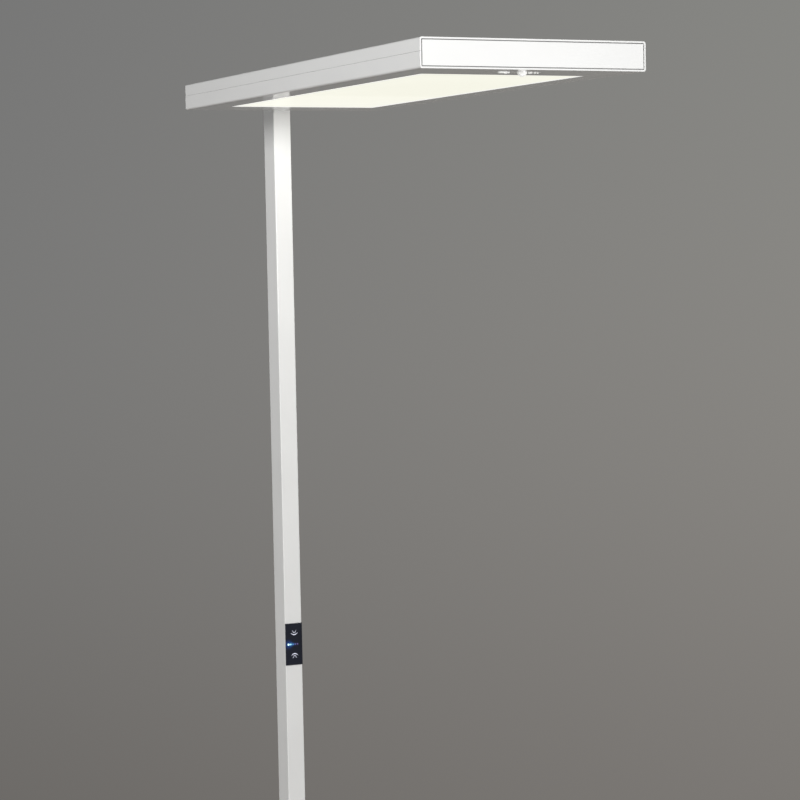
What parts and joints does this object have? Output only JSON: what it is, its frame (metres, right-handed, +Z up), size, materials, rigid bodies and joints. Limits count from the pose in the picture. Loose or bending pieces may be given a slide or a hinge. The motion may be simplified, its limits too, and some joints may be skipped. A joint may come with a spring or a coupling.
{
  "type": "office floor lamp",
  "caption": "Free-standing office lamp: a flat up-and-down light head held at one end by a slim post with a touch panel, on a heavy base plate.",
  "frame": {"origin": "on the floor, in the middle of the lamp's overall width and depth", "axes": "+Z up, -Y the way the head reaches out from the post, +X across the head"},
  "size_m": [0.334, 0.984, 1.95],
  "materials": {
    "casing_white": "white powder coat, satin",
    "base_white": "white powder coat, fine texture",
    "opal_panel": "opal, lit from behind",
    "clear_guide": "clear acrylic",
    "white_film": "matt white film",
    "white_reflector": "matt white",
    "bare_aluminium": "mill finish",
    "steel_bracket": "zinc plated",
    "screw_steel": "zinc plated",
    "white_board": "white solder mask",
    "green_board": "green solder mask",
    "driver_case": "moulded",
    "terminal_grey": "moulded",
    "sensor_white": "fine moulded texture",
    "lens_white": "milky moulded lens",
    "window_clear": "clear",
    "receiver_milky": "milky small lens",
    "sensor_can": "nickel plated",
    "cable_white": "matt sheath",
    "panel_glass": "black printed behind, polished",
    "carrier_black": "moulded",
    "indicator_light": "small light",
    "gland_grey": "moulded",
    "stud_steel": "zinc plated",
    "glide_plastic": "moulded",
    "glide_felt": "pressed felt"
  },
  "bodies": {
    "lamp": {"back_plate": "bare_aluminium", "back_plate_screws": "screw_steel", "base_plate": "base_white", "bracket_nuts": "screw_steel", "control_cable": "cable_white", "control_terminal": "terminal_grey", "cord_gland": "gland_grey", "daylight_window": "window_clear", "driver_screws": "screw_steel", "end_plate_far": "casing_white", "end_plate_near": "casing_white", "end_plate_screws": "screw_steel", "foot_screws": "screw_steel", "gland_nut": "gland_grey", "grub_screws": "screw_steel", "head_bolts": "screw_steel", "head_bracket": "steel_bracket", "housing_screws": "screw_steel", "indicator_leds": "indicator_light", "inlet_connector": "terminal_grey", "ir_receiver": "receiver_milky", "ir_transmitter": "receiver_milky", "led_driver": "driver_case", "led_leads": "cable_white", "led_strips": "white_board", "light_guide": "clear_guide", "lower_diffuser": "opal_panel", "lower_housing": "casing_white", "mains_cable": "cable_white", "mains_terminal": "terminal_grey", "pir_lens": "lens_white", "pir_sensor": "sensor_can", "post_foot_block": "steel_bracket", "post_head_block": "steel_bracket", "post_top_cap": "casing_white", "post_tube": "casing_white", "reflector_sheet": "white_film", "sensor_bezel": "sensor_white", "sensor_board": "green_board", "sensor_lead": "cable_white", "status_light": "receiver_milky", "touch_board": "green_board", "touch_carrier": "carrier_black", "touch_glass": "panel_glass", "uplight_boards": "white_board", "uplight_reflector": "white_reflector", "upper_diffuser": "opal_panel", "upper_housing": "casing_white"},
    "glide_front_left": {"glide_stud_front_left": "stud_steel", "glide_foot_front_left": "glide_plastic", "glide_pad_front_left": "glide_felt"},
    "glide_front_right": {"glide_stud_front_right": "stud_steel", "glide_foot_front_right": "glide_plastic", "glide_pad_front_right": "glide_felt"},
    "glide_rear_left": {"glide_stud_rear_left": "stud_steel", "glide_foot_rear_left": "glide_plastic", "glide_pad_rear_left": "glide_felt"},
    "glide_rear_right": {"glide_stud_rear_right": "stud_steel", "glide_foot_rear_right": "glide_plastic", "glide_pad_rear_right": "glide_felt"}
  },
  "joints": [
    {"name": "glide_front_left_height", "type": "slide", "parent": "lamp", "child": "glide_front_left", "axis": [0, 0, -1], "range_m": [0, 0.005]},
    {"name": "glide_front_right_height", "type": "slide", "parent": "lamp", "child": "glide_front_right", "axis": [0, 0, -1], "range_m": [0, 0.005]},
    {"name": "glide_rear_left_height", "type": "slide", "parent": "lamp", "child": "glide_rear_left", "axis": [0, 0, -1], "range_m": [0, 0.005]},
    {"name": "glide_rear_right_height", "type": "slide", "parent": "lamp", "child": "glide_rear_right", "axis": [0, 0, -1], "range_m": [0, 0.005]}
  ]
}
